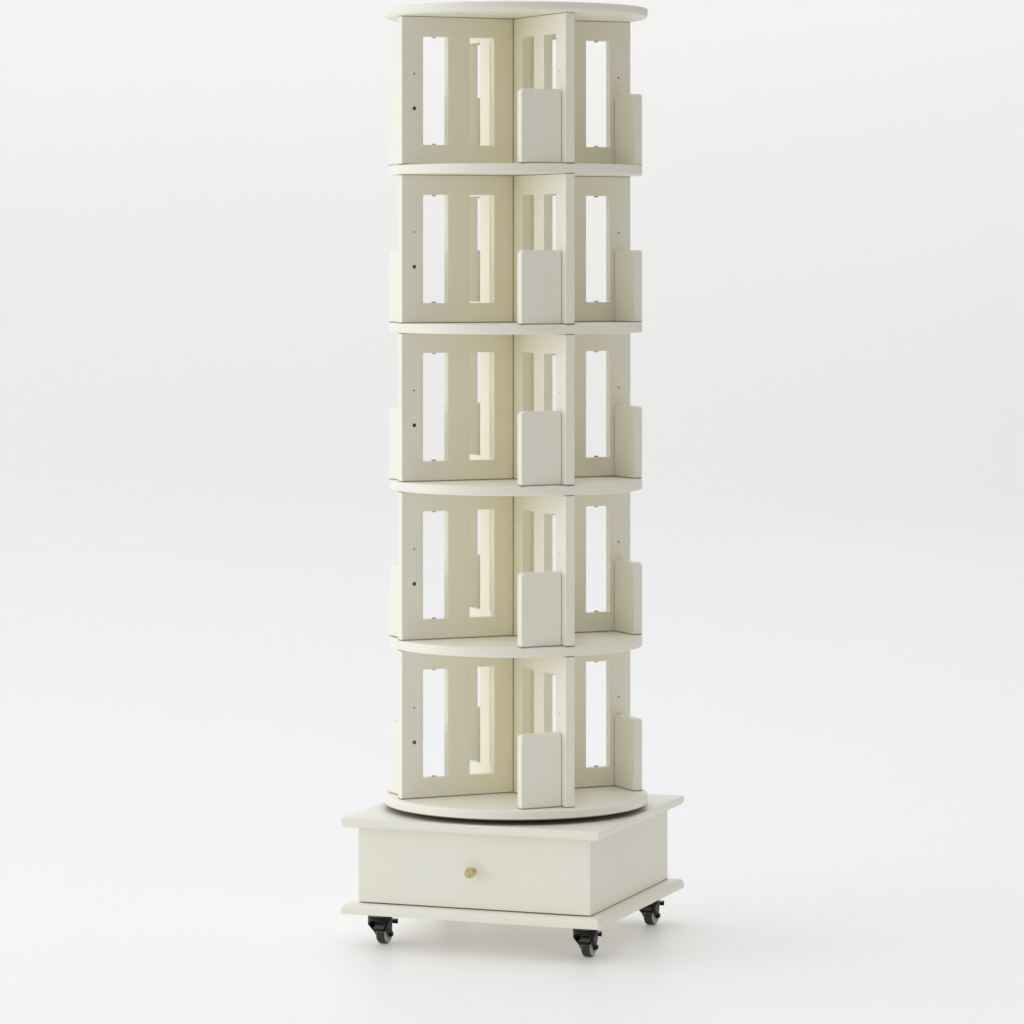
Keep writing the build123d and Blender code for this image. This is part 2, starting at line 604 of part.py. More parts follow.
def drawer_screws(gap=0.0):
    """Screws through the sides into the back, and headed dowel screws from the front into the sides."""
    y0, y1 = drawer_y_range()
    across = countersunk(DRAWER_SCREW_R, DRAWER_SCREW_L, DRAWER_SCREW_HEAD_R, DRAWER_SCREW_HEAD_H, gap)
    pin = rod(DRAWER_SCREW_R + gap, DRAWER_SCREW_L + 2 * gap)
    middle = DRAWER_HALF - DRAWER_BOARD_T / 2
    screws = []
    for dz in (-DRAWER_SCREW_SPREAD, DRAWER_SCREW_SPREAD):
        z = Z_RUNNER + dz
        screws.append(Pos(DRAWER_HALF, y1 - DRAWER_BOARD_T / 2, z) * along("-X") * across)
        screws.append(Pos(-DRAWER_HALF, y1 - DRAWER_BOARD_T / 2, z) * along("+X") * across)
        for sign in (-1, 1):
            start = y0 - BOARD_T / 2 - gap
            screws.append(Pos(sign * middle, start, z) * along("+Y") * pin)
    return screws


def knob_screw(gap=0.0):
    """Screw from inside the drawer through the front into the knob."""
    start = Y_FRONT_BACK - RUNNER_PLAY
    length = BOARD_T - RUNNER_PLAY + KNOB_SCREW_IN
    screw = round_head(KNOB_SCREW_R + gap, length + gap, KNOB_SCREW_HEAD_R, KNOB_SCREW_HEAD_H)
    return Pos(0, start, Z_KNOB) * along("-Y") * screw


def drawer_knob():
    """Turned knob: foot, waist and a domed head."""
    neck_end = KNOB_L - KNOB_HEAD_L
    profile = Polyline((0, 0), (KNOB_FOOT_R, 0), (KNOB_FOOT_R, KNOB_FOOT_L),
                       (KNOB_STEM_R, KNOB_FOOT_L + KNOB_COVE_L), (KNOB_STEM_R, neck_end),
                       (KNOB_R, neck_end + KNOB_FLARE_L), (KNOB_R, KNOB_L - KNOB_CROWN_L),
                       (0, KNOB_L), (0, 0))
    body = revolve(make_face(Plane.XZ * profile), Axis.Z)
    rims = body.edges().filter_by(GeomType.CIRCLE).sort_by(Axis.Z)
    body = fillet([rims[-1]], KNOB_CROWN_L)
    return Pos(0, -BOX_HALF, Z_KNOB) * along("-Y") * body - knob_screw(SEAT_GAP)


def drawer_fixings():
    """Screws of the drawer box, its front, its runners and the knob."""
    return group(drawer_screws() + drawer_runner_screws() + [knob_screw()])


# ---------------------------------------------------------------- castors
def castor_place(corner):
    """Location of a castor: origin on the floor under its swivel axis, +X along its trail."""
    sx, sy = CASTOR_SIGNS[corner]
    return Pos(sx * CASTOR_X, sy * CASTOR_Y, 0) * Rot(0, 0, CASTOR_TRAIL_ANGLES[corner])


def castor_plate(corner):
    """Mounting plate, swivel race and kingpin, square to the base."""
    sx, sy = CASTOR_SIGNS[corner]
    low = CASTOR_H - CASTOR_PLATE_T
    outline = RectangleRounded(CASTOR_PLATE_W, CASTOR_PLATE_W, CASTOR_PLATE_CORNER_R)
    plate = Pos(0, 0, low) * extrude(outline, CASTOR_PLATE_T)
    race = Pos(0, 0, low - RACE_H) * rod(RACE_R, RACE_H)
    race = fillet(race.edges().group_by(Axis.Z)[0], RACE_ROUND)
    pin_end = Z_CROWN - FORK_T - SWIVEL_PLAY - KINGPIN_HEAD_H
    pin = Pos(0, 0, pin_end) * (rod(KINGPIN_R, low - pin_end) + rod(KINGPIN_HEAD_R, KINGPIN_HEAD_H))
    whole = Pos(sx * CASTOR_X, sy * CASTOR_Y, 0) * (plate + race + pin)
    return cut(whole, castor_screws(SEAT_GAP))


def slab_across(face, half_width):
    """A face drawn in the castor's side view, made into a slab of the given half width."""
    return Rot(90, 0, 0) * extrude(face, half_width, both=True)


def fork_side_view():
    """Side view of the fork: the cap's wall drawn down to the round foot at the axle."""
    low = Z_CROWN - FORK_CAP_H
    cap = Polyline((-FORK_CAP_R, low), (-FORK_CAP_R, Z_CROWN), (FORK_CAP_R, Z_CROWN), (FORK_CAP_R, low))
    foot = Pos(TRAIL, WHEEL_R) * Circle(FORK_FOOT_R)
    return make_hull(cap.edges() + foot.edges())


def fork_body(inset):
    """Solid round as the cap, with straight arm ends, drawn in sideways by the inset."""
    cap_r, arm, top = FORK_CAP_R - inset, FORK_OUT - inset, Z_CROWN - inset
    front = Polyline((-arm, 0), (-arm, Z_FORK_ARM), (-cap_r, Z_FORK_WAIST), (-cap_r, top),
                     (cap_r, top), (cap_r, Z_FORK_WAIST), (arm, Z_FORK_ARM), (arm, 0), close=True)
    ends = Rectangle(TRAIL + FORK_FOOT_R, 2 * arm, align=(Align.MIN, Align.CENTER))
    plan = extrude(Circle(cap_r), Z_CROWN) + extrude(ends, Z_FORK_ARM)
    return plan & Rot(0, 0, 90) * slab_across(make_face(front), FORK_CAP_R + FORK_FOOT_R)


def brake_pin(half_length, gap=0.0):
    """Pin of the brake lever, across the fork."""
    ahead = TRAIL + BRAKE_PIN_DIST * cos(radians(BRAKE_PIN_ANGLE))
    place = Pos(ahead, half_length, Z_BRAKE_PIN)
    return place * along("-Y") * rod(BRAKE_PIN_R + gap, 2 * half_length)


def castor_fork(corner):
    """Fork with a round cap, two arms and the wheel's riveted axle, open in front, behind and below."""
    shell = fork_body(0) & slab_across(fork_side_view(), FORK_CAP_R)
    shell = fillet(shell.edges().group_by(Axis.Z)[-1], FORK_T / 2)
    shell -= fork_body(FORK_T)
    shell -= block(0, TRAIL + FORK_FOOT_R, -FORK_IN, FORK_IN, 0, Z_CROWN - FORK_CAP_H)
    shell -= Pos(0, 0, Z_CROWN - FORK_T) * rod(KINGPIN_R + KINGPIN_PLAY, FORK_T)
    shell -= brake_pin(FORK_CAP_R, BRAKE_PIN_PLAY)
    axle = rod(AXLE_R, 2 * FORK_OUT)
    nuts = [Pos(0, 0, z) * rod(AXLE_NUT_R, AXLE_NUT_H) for z in (-AXLE_NUT_H, 2 * FORK_OUT)]
    axle = axle + nuts[0] + nuts[1]
    return castor_place(corner) * (shell + Pos(TRAIL, FORK_OUT, WHEEL_R) * along("-Y") * axle)


def castor_wheel(corner):
    """Wheel with rounded tread edges, a dish in each side and a bored hub."""
    wheel = Cylinder(WHEEL_R, WHEEL_W)
    wheel = fillet(wheel.edges(), WHEEL_ROUND)
    for sign in (-1, 1):
        dish = Cylinder(WHEEL_DISH_R, 2 * WHEEL_DISH_D) - Cylinder(WHEEL_HUB_R, 2 * WHEEL_DISH_D)
        wheel -= Pos(0, 0, sign * WHEEL_W / 2) * dish
    wheel -= Cylinder(AXLE_R + AXLE_PLAY, WHEEL_W)
    return castor_place(corner) * Pos(TRAIL, 0, WHEEL_R) * Rot(90, 0, 0) * wheel


def brake_side_view():
    """Side view of the brake lever from the axle: rolled edge, shoe round the tyre, boss and pedal."""
    inner, outer = BRAKE_ARC_R - BRAKE_T / 2, BRAKE_ARC_R + BRAKE_T / 2
    roll, pin = radians(BRAKE_ROLL_ANGLE), radians(BRAKE_PIN_ANGLE)
    far = 2 * outer
    sector = Polyline((0, 0), (0, far), (-far, far), (far * cos(roll), far * sin(roll)), close=True)
    shoe = (Circle(outer) - Circle(inner)) & make_face(sector)
    edge = Pos(BRAKE_ARC_R * cos(roll), BRAKE_ARC_R * sin(roll)) * Circle(BRAKE_ROLL_R)
    boss = Pos(BRAKE_PIN_DIST * cos(pin), BRAKE_PIN_DIST * sin(pin)) * Circle(BRAKE_BOSS_R)
    pedal = Pos(0, inner) * Rectangle(BRAKE_REACH, BRAKE_T, align=(Align.MIN, Align.MIN))
    return shoe + edge + boss + pedal


def castor_brake(corner):
    """Brake lever on its pin, with the pedal's wide end turned down."""
    top = BRAKE_ARC_R + BRAKE_T / 2
    toe = Pos(BRAKE_REACH, top) * Rectangle(BRAKE_TOE_L, BRAKE_T, align=(Align.MAX, Align.MAX))
    toe += Pos(BRAKE_REACH, top) * Rectangle(BRAKE_T, BRAKE_LIP_H, align=(Align.MAX, Align.MAX))
    lever = slab_across(brake_side_view(), FORK_IN - BRAKE_SIDE_PLAY) + slab_across(toe, BRAKE_TOE_W / 2)
    return castor_place(corner) * (Pos(TRAIL, 0, WHEEL_R) * lever + brake_pin(PIN_OUT - BRAKE_PIN_SUNK))


# ---------------------------------------------------------------- all sub-parts
def build_parts():
    """Every sub-part by its node name."""
    parts = {
        "base_bottom_plate": base_bottom_plate(),
        "base_top_plate": base_top_plate(),
        "base_side_left": base_side(-1),
        "base_side_right": base_side(1),
        "base_back": base_back(),
        "base_fixings": base_fixings(),
        "runner_cabinet_left": cabinet_runner(-1),
        "runner_cabinet_right": cabinet_runner(1),
        "turntable_lower_ring": turntable_lower_ring(),
        "turntable_balls": turntable_balls(),
        "castor_screws": group(castor_screws()),
        "turntable_upper_ring": turntable_upper_ring(),
        "rotor_bottom_disc": bottom_disc(),
        "rotor_top_disc": top_disc(),
        "rotor_bolts": rotor_bolts(),
        "drawer_front": drawer_front(),
        "drawer_side_left": drawer_side(-1),
        "drawer_side_right": drawer_side(1),
        "drawer_back": drawer_back(),
        "drawer_bottom": drawer_bottom(),
        "runner_drawer_left": drawer_runner(-1),
        "runner_drawer_right": drawer_runner(1),
        "drawer_knob": drawer_knob(),
        "drawer_fixings": drawer_fixings(),
    }
    for number in range(1, TIERS):
        parts[f"shelf_{number}"] = shelf(number)
    slotted = {"a": (divider_template(True), ARM_ANGLES[0]), "b": (divider_template(False), ARM_ANGLES[1])}
    stop = stop_template()
    fixings = [stop_screw(), stop_dowel()]
    stop_fixings = []
    for tier in range(TIERS):
        for letter, (template, angle) in slotted.items():
            parts[f"divider_{tier + 1}{letter}"] = on_arm(template, tier, angle)
        parts[f"book_stops_{tier + 1}"] = group([on_arm(stop, tier, a) for a in ARM_ANGLES])
        stop_fixings += [on_arm(piece, tier, a) for a in ARM_ANGLES for piece in fixings]
    parts["stop_fixings"] = group(stop_fixings)
    for corner in CASTOR_SIGNS:
        parts[f"castor_plate_{corner}"] = castor_plate(corner)
        parts[f"castor_fork_{corner}"] = castor_fork(corner)
        parts[f"castor_wheel_{corner}"] = castor_wheel(corner)
        parts[f"castor_brake_{corner}"] = castor_brake(corner)
    return parts


os.makedirs("parts", exist_ok=True)
for node, shape in build_parts().items():
    export_step(shape, f"parts/{node}.step")
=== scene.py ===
import json
import math
from functools import partial

import bmesh
import bpy
import numpy as np
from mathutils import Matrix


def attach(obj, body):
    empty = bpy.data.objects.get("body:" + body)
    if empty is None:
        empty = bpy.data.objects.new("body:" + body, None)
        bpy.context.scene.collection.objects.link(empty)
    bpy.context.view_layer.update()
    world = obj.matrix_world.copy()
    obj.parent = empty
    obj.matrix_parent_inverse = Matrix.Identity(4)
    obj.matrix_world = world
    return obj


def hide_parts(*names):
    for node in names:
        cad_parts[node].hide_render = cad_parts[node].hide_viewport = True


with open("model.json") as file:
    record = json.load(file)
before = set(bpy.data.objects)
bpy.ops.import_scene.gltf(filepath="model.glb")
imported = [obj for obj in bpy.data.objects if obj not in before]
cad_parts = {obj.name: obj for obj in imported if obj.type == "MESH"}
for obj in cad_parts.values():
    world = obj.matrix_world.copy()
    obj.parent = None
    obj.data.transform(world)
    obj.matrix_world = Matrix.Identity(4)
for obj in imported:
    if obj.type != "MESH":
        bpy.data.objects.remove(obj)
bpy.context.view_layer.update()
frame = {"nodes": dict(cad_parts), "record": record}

bl_info = {
    "name": "Revolving bookcase",
    "version": (1, 0, 0),
    "blender": (4, 5, 0),
    "location": "View3D > Sidebar > Bookcase",
    "description": "Finishes, turned and moulded details, and the studio of a revolving bookcase",
    "category": "Object",
}

TAU = 2 * math.pi
MM = 0.001
MERGE = 2e-6              # points of one piece closer than this are one point
SHARP = math.radians(40)  # edges turned more than this stay crisp
ALONG_X, UP, DOWN, TO_FRONT = (1, 0, 0), (0, 0, 1), (0, 0, -1), (0, -1, 0)

# places on the frame, in millimetres; a circle's radius runs from the turning axis
TIER_PITCH, TIER_H = 292.0, 274.0                           # shelf to shelf, and clear height
SHELVES = [268.0 + TIER_PITCH * tier for tier in range(5)]  # upper faces of the tiers' shelves
ARM_ANGLES = np.radians([45.0, 135.0, 225.0, 315.0])        # the dividers' arms
BOARD_HALF = 9.0                                            # half a board's thickness
BOX_Z, BOX_H = 83.0, 139.0                                  # foot and height of the base's sides
DISC_Z = 250.0                                              # underside of the bottom disc
RAIL_H, WINDOW_H = 37.0, 200.0                              # rails over and under a window
BOLT_CIRCLE, BOLT_L = 167.0, 45.0                           # rail bolts
RING_CIRCLE, RING_SCREW_Z, RING_SCREW_L = 112.0, 245.4, 15.0    # screws of the upper ring
STOP_CIRCLE, STOP_SCREW_Z, STOP_SCREW_L = 210.0, 104.0, 48.0    # book stops and their screws
DOWEL_Z, DOWEL_R, DOWEL_L, DOWEL_OUT = 34.0, 4.0, 30.0, 1.0     # dowels of the book stops
KNOB_Y, KNOB_Z, KNOB_R = -225.0, 152.5, 9.5
TRAIL, AXLE_HALF = 17.0, 13.4                               # castor's swivel to axle, half an axle
WHEEL_R = 18.5                                              # also the height of the axle
# place of each castor's swivel axis, and direction from it to the wheel in degrees
CASTORS = {"front_left": (-200.0, -180.0, 85.0), "front_right": (200.0, -180.0, 87.0),
           "rear_right": (200.0, 180.0, 84.0), "rear_left": (-200.0, 180.0, 88.0)}


# ------------------------------------------------------------------ settings
class PaintSettings(bpy.types.PropertyGroup):
    """Colours and grain of the painted boards."""

    board: bpy.props.FloatVectorProperty(
        name="Board paint", description="Warm off-white of every painted board", subtype="COLOR",
        size=3, min=0.0, max=1.0, default=(0.91, 0.89, 0.785))
    tint: bpy.props.FloatVectorProperty(
        name="Paint drift", description="Slightly yellower colour that the paint drifts towards",
        subtype="COLOR", size=3, min=0.0, max=1.0, default=(0.905, 0.878, 0.755))
    # painted shade: the brown that the boards' joints are darkened to, where shade falls
    joint: bpy.props.FloatVectorProperty(
        name="Joint dirt", description="Brown of the shadowed dirt in the boards' joints",
        subtype="COLOR", size=3, min=0.0, max=1.0, default=(0.24, 0.20, 0.11))
    # painted warm bounce light: the yellower colour that the dividers' paint turns to towards their
    # crossing
    warm_bounce: bpy.props.FloatVectorProperty(
        name="Inner paint", description="Yellower paint of the dividers towards their crossing",
        subtype="COLOR", size=3, min=0.0, max=1.0, default=(0.94, 0.86, 0.62))
    gloss: bpy.props.FloatProperty(
        name="Paint roughness", description="Roughness of the satin paint", min=0.0, max=1.0,
        default=0.42, subtype="FACTOR")
    peel: bpy.props.FloatProperty(
        name="Orange peel", description="Height of the sprayed paint's fine ripple", min=0.0,
        max=0.001, default=0.00006, subtype="DISTANCE", unit="LENGTH")


class MetalSettings(bpy.types.PropertyGroup):
    """Colours of the knob and of the castors' plastic, and of the light painted on the castors' upper
    faces.
    """

    brass: bpy.props.FloatVectorProperty(
        name="Knob brass", description="Satin brass of the drawer knob", subtype="COLOR", size=3,
        min=0.0, max=1.0, default=(0.66, 0.56, 0.24))
    black: bpy.props.FloatVectorProperty(
        name="Castor black", description="Black of the castor hoods", subtype="COLOR", size=3,
        min=0.0, max=1.0, default=(0.004, 0.004, 0.004))
    core: bpy.props.FloatVectorProperty(
        name="Core grey", description="Pale grey of the castor wheels' cores", subtype="COLOR", size=3,
        min=0.0, max=1.0, default=(0.52, 0.53, 0.50))
    tread: bpy.props.FloatVectorProperty(
        name="Tread grey", description="Dark grey of the castor wheels' treads", subtype="COLOR",
        size=3, min=0.0, max=1.0, default=(0.04, 0.04, 0.037))
    # painted light: the pale colour that the castors' upper faces are lightened to, as if lit from
    # above
    top_light: bpy.props.FloatVectorProperty(
        name="Dust", description="Pale dust on the upper faces of the castors", subtype="COLOR",
        size=3, min=0.0, max=1.0, default=(0.30, 0.29, 0.26))


class SizeSettings(bpy.types.PropertyGroup):
    """Sizes of the turned and moulded pieces."""

    knob: bpy.props.FloatProperty(
        name="Knob radius", description="Radius of the drawer knob's head", default=KNOB_R * MM,
        subtype="DISTANCE", unit="LENGTH")
    bolt_head: bpy.props.FloatProperty(
        name="Bolt head radius", description="Radius of the rail bolts' button heads",
        default=4.4 * MM, subtype="DISTANCE", unit="LENGTH")
    socket: bpy.props.FloatProperty(
        name="Socket", description="Half the width across the flats of a bolt's hexagonal socket",
        default=1.9 * MM, subtype="DISTANCE", unit="LENGTH")
    tread_groove: bpy.props.FloatProperty(
        name="Tread groove", description="Depth of the grooves round a castor's tread",
        default=0.35 * MM, subtype="DISTANCE", unit="LENGTH")
    spokes: bpy.props.IntProperty(
        name="Spokes", description="Ribs in each side of a castor wheel", default=6, min=3, max=12)


class StudioSettings(bpy.types.PropertyGroup):
    """Camera and light of the studio."""

    camera_height: bpy.props.FloatProperty(
        name="Camera height", description="Height of the level camera over the floor", default=1.270,
        subtype="DISTANCE", unit="LENGTH")
    camera_distance: bpy.props.FloatProperty(
        name="Camera distance", description="Distance of the camera from the turning axis",
        default=7.270, subtype="DISTANCE", unit="LENGTH")
    camera_turn: bpy.props.FloatProperty(
        name="Camera turn", description="Angle of the camera round the turning axis, from the front",
        default=math.radians(20.2), subtype="ANGLE", unit="ROTATION")
    camera_aside: bpy.props.FloatProperty(
        name="Camera aside", description="Distance of the camera to the left of the turning axis",
        default=0.007, subtype="DISTANCE", unit="LENGTH")
    lens: bpy.props.FloatProperty(
        name="Lens", description="Focal length for a 36 mm sensor, in millimetres", default=136.92)
    rise: bpy.props.FloatProperty(
        name="Lens shift", description="Vertical shift of the level camera's view",
        default=-0.2511)
    floor: bpy.props.FloatVectorProperty(
        name="Floor", description="Pale colour of the sweep under and behind the piece",
        subtype="COLOR", size=3, min=0.0, max=1.0, default=(0.82, 0.81, 0.78))
    floor_glow: bpy.props.FloatProperty(
        name="Floor glow", description="Light of its own of the sweep's lit floor", default=0.15,
        min=0.0, max=1.0)
    wall_glow: bpy.props.FloatProperty(
        name="Wall glow", description="Light of its own of the sweep's upright part", default=0.47,
        min=0.0, max=1.0)
    bright: bpy.props.FloatVectorProperty(
        name="Bright side", description="Light that comes from the brightest side of the surround",
        subtype="COLOR", size=3, min=0.0, max=3.0, default=(1.21, 1.27, 1.40))
    dim: bpy.props.FloatVectorProperty(
        name="Dim side", description="Light that comes from the dimmest side of the surround",
        subtype="COLOR", size=3, min=0.0, max=3.0, default=(0.145, 0.105, 0.012))


def settings(group):
    """The scene's values of one property group."""
    return getattr(bpy.context.scene, "bookcase_" + group)


# ------------------------------------------------------------------ material helpers
FULL = (0.0, 1.0)
NOISE_SPAN = (0.3, 0.7)   # most values of a noise lie in this span


def new_material(name):
    """An empty node material; returns it with its node tree and its surface shader."""
    material = bpy.data.materials.new(name)
    material.use_nodes = True
    tree = material.node_tree
    tree.nodes.clear()
    output = tree.nodes.new("ShaderNodeOutputMaterial")
    shader = tree.nodes.new("ShaderNodeBsdfPrincipled")
    tree.links.new(shader.outputs["BSDF"], output.inputs["Surface"])
    return material, tree, shader


def surface(tree, shader, colour, rough, metallic=0.0, specular=0.5):
    """Gives the shader its colour and roughness, which vary, and its constant metal and gloss."""
    tree.links.new(colour, shader.inputs["Base Color"])
    tree.links.new(rough, shader.inputs["Roughness"])
    shader.inputs["Metallic"].default_value = metallic
    shader.inputs["Specular IOR Level"].default_value = specular


def object_coordinates(tree, scale=(1.0, 1.0, 1.0), turn=0.0):
    """Object coordinates, turned round the upright axis and stretched along the axes."""
    source = tree.nodes.new("ShaderNodeTexCoord")
    mapping = tree.nodes.new("ShaderNodeMapping")
    mapping.inputs["Scale"].default_value = scale
    mapping.inputs["Rotation"].default_value = (0.0, 0.0, turn)
    tree.links.new(source.outputs["Object"], mapping.inputs["Vector"])
    return mapping.outputs["Vector"]


def axes_of(tree, vector):
    """The X, Y and Z values of a vector."""
    split = tree.nodes.new("ShaderNodeSeparateXYZ")
    tree.links.new(vector, split.inputs["Vector"])
    return [split.outputs[axis] for axis in "XYZ"]


def noise(tree, vector, scale, detail=2.0, roughness=0.5):
    """Value of a noise of the given scale per metre."""
    node = tree.nodes.new("ShaderNodeTexNoise")
    node.inputs["Scale"].default_value = scale
    node.inputs["Detail"].default_value = detail
    node.inputs["Roughness"].default_value = roughness
    tree.links.new(vector, node.inputs["Vector"])
    return node.outputs["Fac"]


def spread(tree, value, span, onto=FULL):
    """A value mapped from one span to another and held inside it."""
    node = tree.nodes.new("ShaderNodeMapRange")
    node.inputs["From Min"].default_value, node.inputs["From Max"].default_value = span
    node.inputs["To Min"].default_value, node.inputs["To Max"].default_value = onto
    tree.links.new(value, node.inputs["Value"])
    return node.outputs["Result"]


def combine(tree, operation, first, second=0.0):
    """Result of an operation on two values, each a number or a socket."""
    node = tree.nodes.new("ShaderNodeMath")
    node.operation = operation
    for place, value in enumerate((first, second)):
        if isinstance(value, bpy.types.NodeSocket):
            tree.links.new(value, node.inputs[place])
        else:
            node.inputs[place].default_value = value
    return node.outputs["Value"]


def mix_colours(tree, factor, first, second):
    """Colour between two colours, each a tuple or a socket."""
    node = tree.nodes.new("ShaderNodeMix")
    node.data_type = "RGBA"
    tree.links.new(factor, node.inputs["Factor"])
    for socket, colour in (("A", first), ("B", second)):
        inputs = [item for item in node.inputs if item.name == socket and item.type == "RGBA"]
        if isinstance(colour, bpy.types.NodeSocket):
            tree.links.new(colour, inputs[0])
        else:
            inputs[0].default_value = (*colour, 1.0)
    return [item for item in node.outputs if item.type == "RGBA"][0]


def toned(colour, share):
    """A colour darkened or lightened to a share of itself."""
    return tuple(channel * share for channel in colour)


def bump(tree, shader, height, distance, strength, below=None):
    """Bump from a height of the given depth in metres, on top of another bump if one is given."""
    node = tree.nodes.new("ShaderNodeBump")
    node.inputs["Distance"].default_value = distance
    node.inputs["Strength"].default_value = strength
    tree.links.new(height, node.inputs["Height"])
    if below is not None:
        tree.links.new(below, node.inputs["Normal"])
    tree.links.new(node.outputs["Normal"], shader.inputs["Normal"])
    return node.outputs["Normal"]


def painted_top_light(tree, patches, upturned):
    """Share of painted light on upper faces: none on sides and undersides, more as the surface turns
    up, in patches.

    The surface's upward share, which is the Z of its normal, is taken from zero to one over the
    given span.
    """
    source = tree.nodes.new("ShaderNodeTexCoord")
    upward = spread(tree, axes_of(tree, source.outputs["Normal"])[2], upturned)
    return combine(tree, "MULTIPLY", upward, spread(tree, patches, (0.2, 0.6), (0.75, 1.0)))


# ------------------------------------------------------------------ board materials
# foot of the boards, height at which their joints repeat, and the boards' height, in metres, for the
# painted shade in the joints; the foot of the disc's only joint lies just under the disc
NO_REPEAT = 9.0           # higher than the whole piece
TIER_JOINTS = {"foot": SHELVES[0] * MM, "pitch": TIER_PITCH * MM, "rise": TIER_H * MM}
BOX_JOINTS = {"foot": BOX_Z * MM, "pitch": NO_REPEAT, "rise": BOX_H * MM}
DISC_JOINTS = {"foot": (DISC_Z - 0.1) * MM, "pitch": NO_REPEAT, "rise": NO_REPEAT}

# distances in metres from full painted shade to none: over the foot, under the top, and from the
# middle of the board that a board is joined to
FOOT_SHADE = (0.8 * MM, 2.8 * MM)
TOP_SHADE = (0.5 * MM, 1.8 * MM)
SEAM_SHADE = (9.3 * MM, 10.8 * MM)
SHADE_FADE = (1.0, 0.0)

# the dividers' painted warm bounce light: its distances from the crossing board's middle, and its share
BOUNCE_REACH = (20 * MM, 200 * MM)
BOUNCE_FADE = (0.7, 0.0)


def arm_distance(tree, choice):
    """Distance of a point to the middle line of the board that its own board is joined to.

    The dividers stand on the lines through the axis at 45 and 135 degrees. The board that crosses
    a divider is on the farther line (choice MAXIMUM), and the one that carries a book stop is on
    the nearer line (choice MINIMUM).
    """
    x, y, _ = axes_of(tree, object_coordinates(tree, turn=math.radians(45.0)))
    return combine(tree, choice, combine(tree, "ABSOLUTE", x), combine(tree, "ABSOLUTE", y))


def joint_shade_lines(tree, near, foot, pitch, rise):
    """Share of painted shade in the joints, from zero on the open face to one in the joint.

    The height over the foot is taken once per pitch. The painted shade lies just over the foot, just
    under the rise, and where two boards meet, which the distance near tells.
    """
    z = axes_of(tree, object_coordinates(tree))[2]
    turns = combine(tree, "DIVIDE", combine(tree, "SUBTRACT", z, foot), pitch)
    height = combine(tree, "MULTIPLY", combine(tree, "FRACT", turns), pitch)
    below_top = combine(tree, "SUBTRACT", rise, height)
    shade = combine(tree, "MAXIMUM", spread(tree, height, FOOT_SHADE, SHADE_FADE),
                   spread(tree, below_top, TOP_SHADE, SHADE_FADE))
    if near:
        shade = combine(tree, "MAXIMUM", shade, spread(tree, near, SEAM_SHADE, SHADE_FADE))
    return shade


def board_paint(name, joined_to=None, **joints):
    """Satin sprayed paint: slow colour drift, fine orange peel, soft rubbed patches, painted shade in
    the joints.

    The word joined_to is the choice of arm_distance; a divider gets painted warm bounce light, which
    makes it yellower towards the crossing.
    """
    paint = settings("paint")
    material, tree, shader = new_material(name)
    place = object_coordinates(tree)
    drift = spread(tree, noise(tree, place, scale=5.0, detail=3.0), (0.35, 0.65))
    colour = mix_colours(tree, drift, paint.board, paint.tint)
    near = arm_distance(tree, joined_to) if joined_to else None
    # painted warm bounce light: the divider turns yellower towards the crossing
    if joined_to == "MAXIMUM":
        colour = mix_colours(tree, spread(tree, near, BOUNCE_REACH, BOUNCE_FADE), colour, paint.warm_bounce)
    # painted shade: the paint darkens towards the joint colour over the foot, under the top and at the
    # crossing
    if joints:
        colour = mix_colours(tree, joint_shade_lines(tree, near, **joints), colour, paint.joint)
    rubbed = noise(tree, place, scale=22.0, detail=4.0, roughness=0.6)
    rough = spread(tree, rubbed, NOISE_SPAN, (paint.gloss - 0.05, paint.gloss + 0.07))
    surface(tree, shader, colour, rough, specular=0.42)
    ripple = bump(tree, shader, noise(tree, place, scale=420.0), paint.peel, strength=0.55)
    bump(tree, shader, noise(tree, place, scale=38.0), paint.peel * 4, strength=0.35, below=ripple)
    return material


def drawer_paint(name):
    """Thin primer on the drawer box, with the board's grain, which runs along Y, showing through."""
    paint = settings("paint")
    material, tree, shader = new_material(name)
    grain_place = object_coordinates(tree, scale=(90.0, 2.2, 90.0))
    grain = noise(tree, grain_place, scale=6.0, detail=5.0, roughness=0.65)
    colour = mix_colours(tree, spread(tree, grain, (0.3, 0.75)), toned(paint.board, 1.03), paint.tint)
    surface(tree, shader, colour, spread(tree, grain, NOISE_SPAN, (0.5, 0.66)))
    bump(tree, shader, grain, distance=0.00012, strength=0.5)
    return material


# ------------------------------------------------------------------ metal and plastic materials
def zinc(name, colour, roughness, metallic=1.0):
    """Plated steel: cloudy spangle and fine drawn lines; less metallic where the plating is matt."""
    material, tree, shader = new_material(name)
    spangle = noise(tree, object_coordinates(tree), scale=60.0, detail=3.0)
    plating = mix_colours(tree, spread(tree, spangle, NOISE_SPAN), colour, toned(colour, 0.8))
    rough = spread(tree, spangle, NOISE_SPAN, (roughness - 0.06, roughness + 0.12))
    surface(tree, shader, plating, rough, metallic)
    lines = noise(tree, object_coordinates(tree, scale=(900.0, 12.0, 900.0)), scale=1.0)
    bump(tree, shader, lines, distance=0.00003, strength=0.4)
    return material


def dark_screw(name):
    """Bronzed screw steel, rubbed brighter in patches."""
    material, tree, shader = new_material(name)
    place = object_coordinates(tree)
    worn = spread(tree, noise(tree, place, scale=260.0, detail=3.0), (0.45, 0.8))
    bronze = mix_colours(tree, worn, (0.10, 0.085, 0.065), (0.32, 0.28, 0.22))
    surface(tree, shader, bronze, spread(tree, worn, FULL, (0.45, 0.3)), metallic=0.85)
    bump(tree, shader, noise(tree, place, scale=900.0), distance=0.00004, strength=0.4)
    return material


def polished_steel(name):
    """Polished ball steel with faint running marks."""
    material, tree, shader = new_material(name)
    marks = noise(tree, object_coordinates(tree), scale=500.0)
    steel = mix_colours(tree, marks, (0.72, 0.72, 0.73), (0.62, 0.62, 0.64))
    surface(tree, shader, steel, spread(tree, marks, NOISE_SPAN, (0.12, 0.22)), metallic=1.0)
    bump(tree, shader, marks, distance=0.00001, strength=0.3)
    return material


